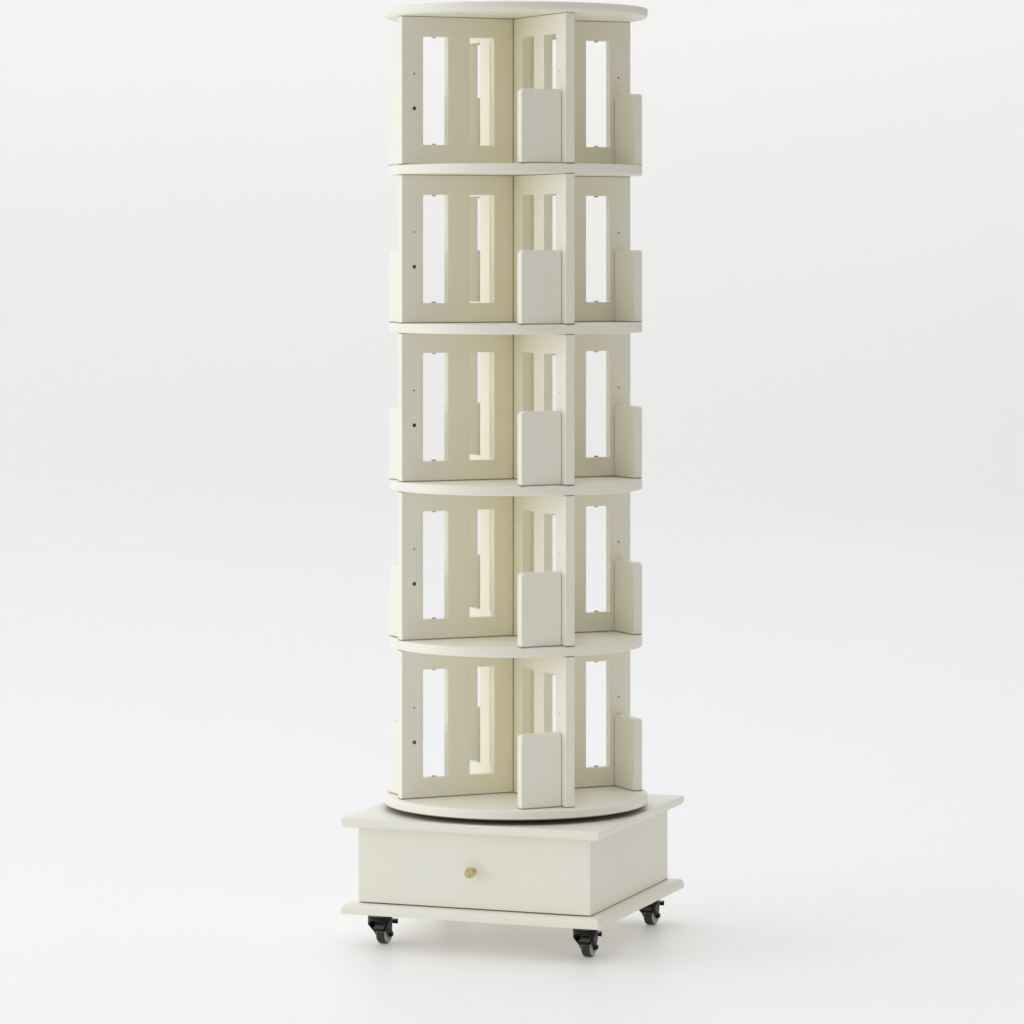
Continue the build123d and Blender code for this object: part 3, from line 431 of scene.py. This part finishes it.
def castor_black(name):
    """Moulded black nylon with a fine spark-eroded grain, and painted light on its upper faces."""
    metal = settings("metal")
    material, tree, shader = new_material(name)
    place = object_coordinates(tree)
    cloud = noise(tree, place, scale=90.0, detail=3.0)
    lighter = tuple(channel + 0.004 for channel in metal.black)
    plastic = mix_colours(tree, cloud, metal.black, lighter)
    # painted light: upward faces are lightened towards a pale colour, as if lit from above
    top_lit = mix_colours(tree, painted_top_light(tree, cloud, (0.25, 0.85)), plastic, metal.top_light)
    surface(tree, shader, top_lit, spread(tree, cloud, NOISE_SPAN, (0.3, 0.42)), specular=0.2)
    bump(tree, shader, noise(tree, place, scale=1500.0), distance=0.00005, strength=0.5)
    return material


def tread_grey(name):
    """Dark grey tread plastic, scuffed lighter by floors, with painted light on its upper side."""
    metal = settings("metal")
    material, tree, shader = new_material(name)
    place = object_coordinates(tree)
    scuff = spread(tree, noise(tree, place, scale=180.0, detail=5.0, roughness=0.7), (0.45, 0.75))
    plastic = mix_colours(tree, scuff, metal.tread, toned(metal.tread, 1.5))
    # painted light: upward faces are lightened towards a pale colour, as if lit from above
    top_lit = mix_colours(tree, painted_top_light(tree, scuff, (0.1, 0.7)), plastic, metal.top_light)
    surface(tree, shader, top_lit, spread(tree, scuff, FULL, (0.42, 0.62)), specular=0.3)
    bump(tree, shader, noise(tree, place, scale=1100.0, detail=3.0), distance=0.00006, strength=0.5)
    return material


def core_grey(name):
    """Pale grey nylon of the wheels' cores, slightly scuffed and cloudy."""
    metal = settings("metal")
    material, tree, shader = new_material(name)
    place = object_coordinates(tree)
    cloud = spread(tree, noise(tree, place, scale=140.0, detail=4.0, roughness=0.6), (0.35, 0.7))
    nylon = mix_colours(tree, cloud, metal.core, toned(metal.core, 0.82))
    surface(tree, shader, nylon, spread(tree, cloud, FULL, (0.3, 0.45)))
    bump(tree, shader, noise(tree, place, scale=1300.0), distance=0.00003, strength=0.4)
    return material


def knob_brass(name):
    """Satin brass: turning lines round the knob's axis, which lies along Y, and slight tarnish."""
    metal = settings("metal")
    material, tree, shader = new_material(name)
    patches = noise(tree, object_coordinates(tree), scale=120.0, detail=4.0, roughness=0.6)
    tarnish = spread(tree, patches, (0.35, 0.75))
    brass = mix_colours(tree, tarnish, metal.brass, toned(metal.brass, 0.72))
    surface(tree, shader, brass, spread(tree, tarnish, FULL, (0.24, 0.38)), metallic=1.0)
    lines = noise(tree, object_coordinates(tree, scale=(4.0, 2500.0, 4.0)), scale=1.0)
    bump(tree, shader, lines, distance=0.00003, strength=0.35)
    return material


# record slot, or kind of board -> function that makes its material
FINISHES = {
    "white_board": board_paint,
    "divider_board": partial(board_paint, joined_to="MAXIMUM", **TIER_JOINTS),
    "stop_board": partial(board_paint, joined_to="MINIMUM", **TIER_JOINTS),
    "box_board": partial(board_paint, **BOX_JOINTS),
    "disc_board": partial(board_paint, **DISC_JOINTS),
    "drawer_board": drawer_paint,
    "zinc_screw": partial(zinc, colour=(0.66, 0.66, 0.64), roughness=0.34),
    "zinc_plate": partial(zinc, colour=(0.60, 0.61, 0.61), roughness=0.38),
    "dark_screw": dark_screw,
    "nickel_bolt": partial(zinc, colour=(0.66, 0.65, 0.58), roughness=0.5, metallic=0.35),
    "bearing_steel": polished_steel,
    "black_plastic": castor_black,
    "grey_tyre": tread_grey,
    "grey_core": core_grey,
    "brass": knob_brass,
}

# beginning of a node's name -> kind of board with painted shade in joints of its own
JOINTED = {"divider_": "divider_board", "book_stops_": "stop_board", "base_side_": "box_board",
           "base_back": "box_board", "drawer_front": "box_board", "rotor_bottom_disc": "disc_board"}


def finish_material(slot):
    """The material of a record slot or a kind of board, made once."""
    name = "finish_" + slot
    return bpy.data.materials.get(name) or FINISHES[slot](name)


# ------------------------------------------------------------------ meshes
def grid_faces(index):
    """Quads between the neighbours in a grid of point numbers."""
    corners = [index[:-1, :-1], index[1:, :-1], index[1:, 1:], index[:-1, 1:]]
    return np.stack(corners, axis=-1).reshape(-1, 4)


def mesh_object(name, points, faces, material):
    """A smooth object in the scene, from arrays of points in metres and of quads."""
    mesh = bpy.data.meshes.new(name)
    mesh.from_pydata(points.tolist(), [], faces.tolist())
    mesh.shade_smooth()
    mesh.materials.append(material)
    item = bpy.data.objects.new(name, mesh)
    bpy.context.scene.collection.objects.link(item)
    return item


def piece(name, grids, body, slot, replaced=(), finish=None):
    """One object in millimetres from grids of points that wrap round their first direction.

    Equal points are merged, which closes the seams and the poles, and the faces are turned
    outwards.
    """
    points, faces, start = [], [], 0
    for grid in grids:
        nu, nv = grid.shape[:2]
        index = start + np.arange(nu * nv).reshape(nu, nv)
        faces.append(grid_faces(np.vstack([index, index[:1]])))
        points.append(grid.reshape(-1, 3) * MM)
        start += nu * nv
    item = mesh_object(name, np.concatenate(points), np.concatenate(faces),
                       finish_material(finish or slot))
    shape = bmesh.new()
    shape.from_mesh(item.data)
    bmesh.ops.remove_doubles(shape, verts=shape.verts, dist=MERGE)
    bmesh.ops.recalc_face_normals(shape, faces=shape.faces)
    shape.to_mesh(item.data)
    shape.free()
    item.data.set_sharp_from_angle(angle=SHARP)
    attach(item, body)
    if replaced:
        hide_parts(*replaced)
    return item


# ------------------------------------------------------------------ shapes
def softened(corners, steps):
    """Line of points from (radius, height, reach) corners, bridged by parabolas at the inner ones.

    With P and Q at the reach before and after a corner C, the bridge is
    (1 - t)^2 P + 2 t (1 - t) C + t^2 Q for t from 0 to 1; both ends of the line stay.
    """
    corners = np.array(corners, float)
    reach, corners = corners[1:-1, 2:], corners[:, :2]
    middle = corners[1:-1]
    sides = []
    for way in (corners[:-2] - middle, corners[2:] - middle):
        length = np.linalg.norm(way, axis=1, keepdims=True)
        sides.append((middle + way / length * np.minimum(reach, length / 2))[:, None])
    t = np.linspace(0.0, 1.0, steps + 1)[None, :, None]
    bridges = (1 - t) ** 2 * sides[0] + 2 * t * (1 - t) * middle[:, None] + t ** 2 * sides[1]
    return np.concatenate([corners[:1], bridges.reshape(-1, 2), corners[-1:]])


def round_angles(count):
    """Column of evenly spaced angles once round."""
    return np.linspace(0.0, TAU, count, endpoint=False)[:, None]


def around(angle, radius, height):
    """Grid x = radius cos(angle), y = radius sin(angle), z = height, for arrays of angle by profile."""
    angle, radius, height = np.broadcast_arrays(angle, radius, height)
    return np.stack([radius * np.cos(angle), radius * np.sin(angle), height], axis=-1)


def directions(angle):
    """Level unit vectors at an angle, and a quarter turn on from it."""
    return (np.array([math.cos(angle), math.sin(angle), 0.0]),
            np.array([-math.sin(angle), math.cos(angle), 0.0]))


def placed(points, origin, x_axis, z_axis):
    """Points carried from a piece's own axes to its place: origin + x X + y (Z cross X) + z Z."""
    axes = np.stack([x_axis, np.cross(z_axis, x_axis), z_axis]).astype(float)
    return np.asarray(origin, float) + points @ axes


def hexagon(angle, half_width):
    """Radius of a hexagon at an angle: half its width over the cosine to the nearest flat."""
    return half_width / np.cos((angle + math.pi / 6) % (math.pi / 3) - math.pi / 6)


def knob_shape():
    """Turned knob: foot, waist, flared head with a thin groove, and a slightly domed face."""
    profile = softened([
        (0.0, 0.0, 0.0), (6.0, 0.0, 0.3), (6.0, 2.2, 0.7),                  # foot
        (4.2, 3.6, 1.2), (4.2, 12.4, 3.0),                                  # waist
        (KNOB_R, 15.6, 0.9), (KNOB_R, 20.4, 0.8),                           # head
        (8.1, 20.8, 0.15), (7.9, 20.45, 0.1), (7.6, 20.85, 0.15),           # groove
        (0.0, 21.0, 0.0)], steps=5)
    scale = settings("size").knob / MM / KNOB_R
    grid = around(round_angles(64), profile[:, 0] * scale, profile[:, 1])
    return placed(grid, (0.0, KNOB_Y, KNOB_Z), ALONG_X, TO_FRONT)


def bolt_shape():
    """Button-head bolt along +Z, its head under the origin.

    The profile runs from the middle of the hexagonal socket over the dome and along the shank;
    the radii of the socket's points follow a hexagon instead of a circle.
    """
    size = settings("size")
    head, flat = size.bolt_head / MM, size.socket / MM
    shank, tip, top, rim, floor = 3.0, 2.4, -2.75, -1.1, -1.1
    angle = round_angles(36)
    socket_z = np.array([floor - 0.5, floor, top + 0.15])
    socket = around(angle, hexagon(angle, flat) * np.array([0.0, 1.0, 1.0]), socket_z)
    rest = softened([
        (flat * 1.3, top - 0.05, 0.0), (head * 0.72, top + 0.05, 0.9), (head, rim, 0.9),
        (head, 0.0, 0.15), (shank, 0.0, 0.1), (shank, BOLT_L - 0.8, 0.1), (tip, BOLT_L, 0.1),
        (0.0, BOLT_L, 0.0)], steps=4)
    return np.concatenate([socket, around(angle, rest[:, 0], rest[:, 1])], axis=1)


def screw_shape(length, head, shank=2.0, head_h=2.4):
    """Countersunk screw along +Z with its flat face on the origin and a cross recess.

    The recess's radius is 0.75 + 1.55 cos^6(2 angle) at the face, which gives it four arms, and
    shrinks on its way down.
    """
    face, edge, point = 2.6, 0.25, 3.0    # flat face round the recess, head's edge, pointed end
    angle = round_angles(48)
    cross = 0.75 + 1.55 * np.cos(2 * angle) ** 6
    recess = around(angle, cross * np.array([0.0, 0.45, 0.8, 1.0]), np.array([1.9, 1.5, 0.6, 0.0]))
    rest = softened([
        (face, 0.0, 0.0), (head, 0.0, 0.12), (head, edge, 0.1), (shank, head_h, 0.2),
        (shank, length - point, 0.2), (0.0, length, 0.0)], steps=3)
    return np.concatenate([recess, around(angle, rest[:, 0], rest[:, 1])], axis=1)


def dowel_shape():
    """Dowel along +Z with chamfered ends; its radius, 4 - 0.12 cos^4(6 angle), has twelve flutes."""
    angle = round_angles(48)
    radius = DOWEL_R - 0.12 * np.cos(6 * angle) ** 4
    ends = np.array([0.0, 0.8, 1.0, 1.0, 0.8, 0.0])
    height = np.array([0.0, 0.0, 1.0, DOWEL_L - 1.0, DOWEL_L, DOWEL_L])
    return around(angle, radius * ends, height)


def wheel_core():
    """Side rings, ribbed dish and bored hub of a castor wheel, as one closed turned ring.

    The dish's floor rises to a rib wherever the cosine of (spokes x angle) is near one. The rise
    follows 3 s^2 - 2 s^3, with s from 0 to 1 as the cosine goes from 0.90 to 0.98.
    """
    hub, dish, ring, floor = 6.2, 11.2, 15.0, 8.6
    half = softened([
        (3.05, 0.0, 0.0), (3.05, 10.0, 0.4), (hub, 10.0, 0.5),              # bore and hub
        (6.6, floor, 0.4), (dish, floor, 0.4), (11.8, 10.0, 0.5),           # dish
        (ring, 9.9, 1.2), (16.4, 7.0, 0.6), (15.9, 5.6, 0.3),               # side ring
        (15.6, 0.0, 0.0)], steps=4)
    radius, height = half[:, 0], half[:, 1]
    angle = round_angles(144)
    rib = np.clip((np.cos(settings("size").spokes * angle) - 0.90) / 0.08, 0.0, 1.0)
    rib = rib * rib * (3 - 2 * rib)
    in_dish = (radius > hub + 0.5) & (radius < dish - 0.1) & (height < floor + 0.4)
    raised = height + rib * in_dish
    closed = np.concatenate([raised, -raised[:, ::-1]], axis=1)
    return around(angle, np.concatenate([radius, radius[::-1]]), closed)


def wheel_tread():
    """Tyre of a castor wheel: a closed turned band with rounded shoulders and two grooves."""
    groove = WHEEL_R - settings("size").tread_groove / MM
    half = [(WHEEL_R, 2.4, 0.1), (groove, 2.7, 0.1), (groove, 3.1, 0.1), (WHEEL_R, 3.4, 0.1),
            (WHEEL_R, 6.2, 1.8), (17.0, 8.6, 1.0), (15.2, 7.3, 0.0)]
    outer = softened([(radius, -height, reach) for radius, height, reach in half[::-1]] + half,
                     steps=3)
    closed = np.concatenate([outer, outer[:1]])
    return around(round_angles(96), closed[:, 0], closed[:, 1])


def nut_shape():
    """Domed hexagonal nut along +Z: the hexagon is cut by a cone at its top and ends in a dome."""
    half_width, cone = 4.35, 4.55
    angle = round_angles(48)
    flats = hexagon(angle, half_width)
    radii = np.concatenate([np.zeros_like(flats), flats, flats, np.minimum(flats, cone)], axis=1)
    base = around(angle, radii, np.array([-0.3, -0.3, 2.5, 2.8]))
    dome = softened([(4.1, 3.0, 0.0), (3.4, 4.0, 0.8), (0.0, 4.3, 0.0)], steps=4)
    return np.concatenate([base, around(angle, dome[:, 0], dome[:, 1])], axis=1)


# ------------------------------------------------------------------ operators
class BOOKCASE_OT_paint_nodes(bpy.types.Operator):
    """Give every solid of the frame the finish of its slot."""

    bl_idname = "bookcase.paint_nodes"
    bl_label = "Paint the solids"

    def execute(self, context):
        for item in frame["record"]["subparts"]:
            materials = frame["nodes"][item["node"]].data.materials
            materials.clear()
            kinds = [kind for start, kind in JOINTED.items() if item["node"].startswith(start)]
            materials.append(finish_material((kinds + [item["material_slot"]])[0]))
        return {"FINISHED"}


class BOOKCASE_OT_knob(bpy.types.Operator):
    """Make the turned brass knob."""

    bl_idname = "bookcase.knob"
    bl_label = "Knob"

    def execute(self, context):
        piece("turned_knob", [knob_shape()], "drawer", "brass", ["drawer_knob"])
        return {"FINISHED"}


class BOOKCASE_OT_bolts(bpy.types.Operator):
    """Make the socket-head bolts of the rails and the screws of the upper ring."""

    bl_idname = "bookcase.bolts"
    bl_label = "Rail bolts"

    def execute(self, context):
        bolt, grids = bolt_shape(), []
        for angle in ARM_ANGLES:
            middle = BOLT_CIRCLE * directions(angle)[0]
            for shelf in SHELVES:
                low, high = shelf + RAIL_H, shelf + RAIL_H + WINDOW_H
                grids.append(placed(bolt, middle + (0.0, 0.0, high), ALONG_X, UP))
                grids.append(placed(bolt, middle + (0.0, 0.0, low), ALONG_X, DOWN))
        ring_screw = screw_shape(RING_SCREW_L, head=3.8)
        for angle in ARM_ANGLES:
            place = RING_CIRCLE * directions(angle)[0] + (0.0, 0.0, RING_SCREW_Z)
            grids.append(placed(ring_screw, place, ALONG_X, UP))
        piece("socket_bolts", grids, "rotor", "nickel_bolt", ["rotor_bolts"])
        return {"FINISHED"}


class BOOKCASE_OT_stop_screws(bpy.types.Operator):
    """Make the cross-recessed screws and the fluted dowels that hold the book stops."""

    bl_idname = "bookcase.stop_screws"
    bl_label = "Stop screws"

    def execute(self, context):
        screw, dowel, grids = screw_shape(STOP_SCREW_L, head=3.6), dowel_shape(), []
        for angle in ARM_ANGLES:
            outward, back = directions(angle)
            inward = -back
            for shelf in SHELVES:
                foot = outward * STOP_CIRCLE + (0.0, 0.0, shelf)
                head = foot + back * BOARD_HALF + (0.0, 0.0, STOP_SCREW_Z)
                grids.append(placed(screw, head, outward, inward))
                start = foot + back * DOWEL_OUT + (0.0, 0.0, DOWEL_Z)
                grids.append(placed(dowel, start, outward, inward))
        piece("recessed_screws", grids, "rotor", "dark_screw", ["stop_fixings"])
        return {"FINISHED"}


class BOOKCASE_OT_wheels(bpy.types.Operator):
    """Make each castor's tyre, its ribbed grey core and the nuts of its axle."""

    bl_idname = "bookcase.wheels"
    bl_label = "Castor wheels"

    def execute(self, context):
        core, tread, nut = wheel_core(), wheel_tread(), nut_shape()
        for corner, (x, y, degrees) in CASTORS.items():
            trail, across = directions(math.radians(degrees))
            hub = np.array([x, y, WHEEL_R]) + TRAIL * trail
            wheel, fork, node = "wheel_" + corner, "fork_" + corner, "castor_wheel_" + corner
            piece("wheel_core_" + corner, [placed(core, hub, trail, across)], wheel, "grey_tyre",
                  [node], "grey_core")
            piece("wheel_tread_" + corner, [placed(tread, hub, trail, across)], wheel, "grey_tyre",
                  [node])
            nuts = [placed(nut, hub + side * AXLE_HALF * across, trail, side * across)
                    for side in (-1, 1)]
            piece("axle_nuts_" + corner, nuts, fork, "black_plastic")
        return {"FINISHED"}


class BOOKCASE_OT_stage(bpy.types.Operator):
    """Make the pale sweep, the soft light and the camera."""

    bl_idname = "bookcase.stage"
    bl_label = "Studio"

    def execute(self, context):
        make_sweep()
        make_lights()
        make_camera()
        return {"FINISHED"}


# ------------------------------------------------------------------ studio
# in metres, with X to the camera's right, Y away from it and Z up
FLOOR_NEAR, FLOOR_FAR = -14.0, 10.0
BEND_R, WALL_TOP = 4.0, 14.0
SWEEP_HALF = 22.0
FRONT_DIMMING = (-5.0, -1.2), (0.45, 1.0)     # from Y to Y, and the floor's share of light there
SIDE_DIMMING = (6.0, 3.0), (0.3, 1.0)         # from X to X, and the floor's share of light there
KEY_PLACE = (-5.0, -0.8, 1.2)
BRIGHTEST = (-0.38, 0.40, 0.42)               # direction of the surround's brightest side


def as_seen(points):
    """Points given as the camera sees them: to the right, away from it, and up."""
    turn = settings("studio").camera_turn
    right, away, up = np.moveaxis(np.asarray(points, float), -1, 0)
    return np.stack([right * math.cos(turn) - away * math.sin(turn),
                     right * math.sin(turn) + away * math.cos(turn), up], axis=-1)


def floor_paint(name):
    """Matt sweep with painted light: dimmer far in front of the piece and at the right, brighter up the
    wall.
    """
    studio = settings("studio")
    material, tree, shader = new_material(name)
    x, y, z = axes_of(tree, object_coordinates(tree, turn=-studio.camera_turn))
    front = spread(tree, y, *FRONT_DIMMING)
    near = combine(tree, "MULTIPLY", front, spread(tree, x, *SIDE_DIMMING))
    colour = mix_colours(tree, near, toned(studio.floor, 0.1), studio.floor)
    tree.links.new(colour, shader.inputs["Base Color"])
    shader.inputs["Roughness"].default_value = 0.45
    shader.inputs["Specular IOR Level"].default_value = 0.3
    shader.inputs["Emission Color"].default_value = (1.0, 1.0, 1.0, 1.0)
    glow = spread(tree, z, (0.0, BEND_R), (studio.floor_glow, studio.wall_glow))
    tree.links.new(combine(tree, "MULTIPLY", near, glow), shader.inputs["Emission Strength"])
    return material


def make_sweep():
    """Floor and wall in one: a flat profile, a quarter circle, then upright, carried sideways.

    The profile is y(s), z(s) with s along the floor, round the bend and up the wall; every column
    of the grid is that profile shifted along x.
    """
    angle = np.linspace(0.0, math.pi / 2, 25)
    bend_y, bend_z = FLOOR_FAR + BEND_R * np.sin(angle), BEND_R - BEND_R * np.cos(angle)
    y = np.concatenate(([FLOOR_NEAR], bend_y, [FLOOR_FAR + BEND_R]))
    z = np.concatenate(([0.0], bend_z, [WALL_TOP]))
    x, y = np.meshgrid(np.linspace(-SWEEP_HALF, SWEEP_HALF, 3), y, indexing="ij")
    points = as_seen(np.stack([x, y, np.broadcast_to(z, x.shape)], axis=-1))
    index = np.arange(x.size).reshape(x.shape)
    sweep = mesh_object("studio_sweep", points.reshape(-1, 3), grid_faces(index),
                        floor_paint("floor_paint"))


def area_light(name, place, aim, size, power):
    """A soft white rectangular light at a place, turned towards a point."""
    light = bpy.data.lights.new(name, "AREA")
    light.shape = "RECTANGLE"
    light.size, light.size_y = size
    light.energy = power
    item = bpy.data.objects.new(name, light)
    x, y, z = np.array(aim) - place
    item.location = place
    item.rotation_euler = (math.atan2(math.hypot(x, y), -z), 0.0, math.atan2(x, -y) + math.pi)
    bpy.context.scene.collection.objects.link(item)


def make_surround(brightest):
    """World whose light falls off evenly from its brightest direction to the opposite one.

    The share of the bright colour is half of one plus the cosine of the angle to that direction.
    """
    studio = settings("studio")
    world = bpy.data.worlds.new("surround")
    world.use_nodes = True
    tree = world.node_tree
    direction = tree.nodes.new("ShaderNodeTexCoord")
    cosine = tree.nodes.new("ShaderNodeVectorMath")
    cosine.operation = "DOT_PRODUCT"
    cosine.inputs[1].default_value = brightest / np.linalg.norm(brightest)
    tree.links.new(direction.outputs["Generated"], cosine.inputs[0])
    share = spread(tree, cosine.outputs["Value"], (-1.0, 1.0))
    tree.links.new(mix_colours(tree, share, studio.dim, studio.bright),
                   tree.nodes["Background"].inputs["Color"])
    bpy.context.scene.world = world


def make_lights():
    """Soft light: a wide one from the left, and a surround graded from the left to the right.

    The view transform is the plain one, which keeps the pale paint and floor as pale as they are.
    """
    area_light("key", as_seen(KEY_PLACE), aim=(0.0, 0.0, 0.7), size=(3.0, 2.4), power=38.0)
    make_surround(as_seen(BRIGHTEST))
    bpy.context.scene.view_settings.view_transform = "Standard"


def make_camera():
    """Level camera with a shifted lens, turned round the axis to the front's right."""
    studio = settings("studio")
    data = bpy.data.cameras.new("camera")
    data.lens = studio.lens
    data.sensor_width = 36.0
    data.shift_y = studio.rise
    data.clip_end = 100.0
    camera = bpy.data.objects.new("camera", data)
    camera.location = as_seen((-studio.camera_aside, -studio.camera_distance, studio.camera_height))
    camera.rotation_euler = (math.pi / 2, 0.0, studio.camera_turn)
    bpy.context.scene.collection.objects.link(camera)
    bpy.context.scene.camera = camera


# ------------------------------------------------------------------ add-on
class BOOKCASE_PT_panel(bpy.types.Panel):
    """Buttons and values of the bookcase."""

    bl_label = "Revolving bookcase"
    bl_idname = "BOOKCASE_PT_panel"
    bl_space_type = "VIEW_3D"
    bl_region_type = "UI"
    bl_category = "Bookcase"

    def draw(self, context):
        for operator in OPERATORS:
            self.layout.operator(operator.bl_idname)
        for group in SETTINGS:
            values = settings(group)
            for key in type(values).__annotations__:
                self.layout.prop(values, key)


OPERATORS = (BOOKCASE_OT_paint_nodes, BOOKCASE_OT_knob, BOOKCASE_OT_bolts, BOOKCASE_OT_stop_screws,
             BOOKCASE_OT_wheels, BOOKCASE_OT_stage)
SETTINGS = {"paint": PaintSettings, "metal": MetalSettings, "size": SizeSettings,
            "studio": StudioSettings}
CLASSES = (*SETTINGS.values(), *OPERATORS, BOOKCASE_PT_panel)


def register():
    """Registers the classes and gives the scene its property groups."""
    for cls in CLASSES:
        bpy.utils.register_class(cls)
    for key, cls in SETTINGS.items():
        setattr(bpy.types.Scene, "bookcase_" + key, bpy.props.PointerProperty(type=cls))


def unregister():
    """Takes the property groups and the classes away again."""
    for key in SETTINGS:
        delattr(bpy.types.Scene, "bookcase_" + key)
    for cls in reversed(CLASSES):
        bpy.utils.unregister_class(cls)


def main():
    """Registers the add-on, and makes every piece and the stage."""
    register()
    for operator in OPERATORS:
        group, call = operator.bl_idname.split(".")
        getattr(getattr(bpy.ops, group), call)()


if __name__ == "__main__":
    main()
